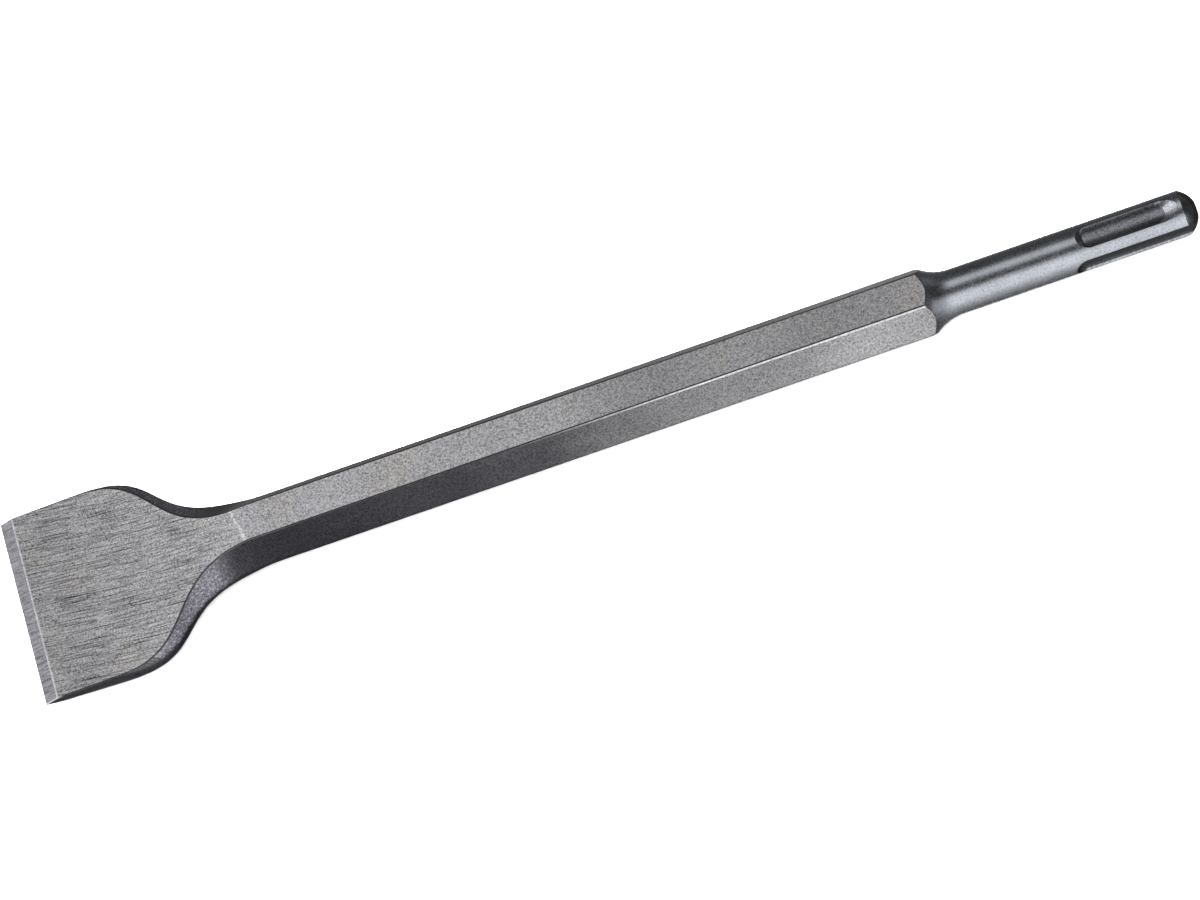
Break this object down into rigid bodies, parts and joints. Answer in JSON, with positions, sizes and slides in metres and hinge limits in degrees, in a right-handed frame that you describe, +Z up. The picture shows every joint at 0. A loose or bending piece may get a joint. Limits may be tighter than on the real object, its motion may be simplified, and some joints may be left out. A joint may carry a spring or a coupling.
{
  "type": "wide flat chisel",
  "caption": "Wide flat chisel for a light electric hammer: ground cutting edge, forged hexagon bar and a 10 mm grooved quick-change hammer shank.",
  "frame": {"origin": "on the surface that the chisel lies on, under the middle of its length and width", "axes": "+X along the bar from the cutting edge to the striking end, +Y across the blade, +Z up, square to the bar's upper flat"},
  "size_m": [0.2656, 0.044, 0.014],
  "materials": {
    "forged_steel": "bare forged and ground tool steel, satin, with brushed broad faces and a dull dark scale on the turned neck and shank"
  },
  "bodies": {
    "root": {"chisel": "forged_steel"}
  },
  "joints": []
}
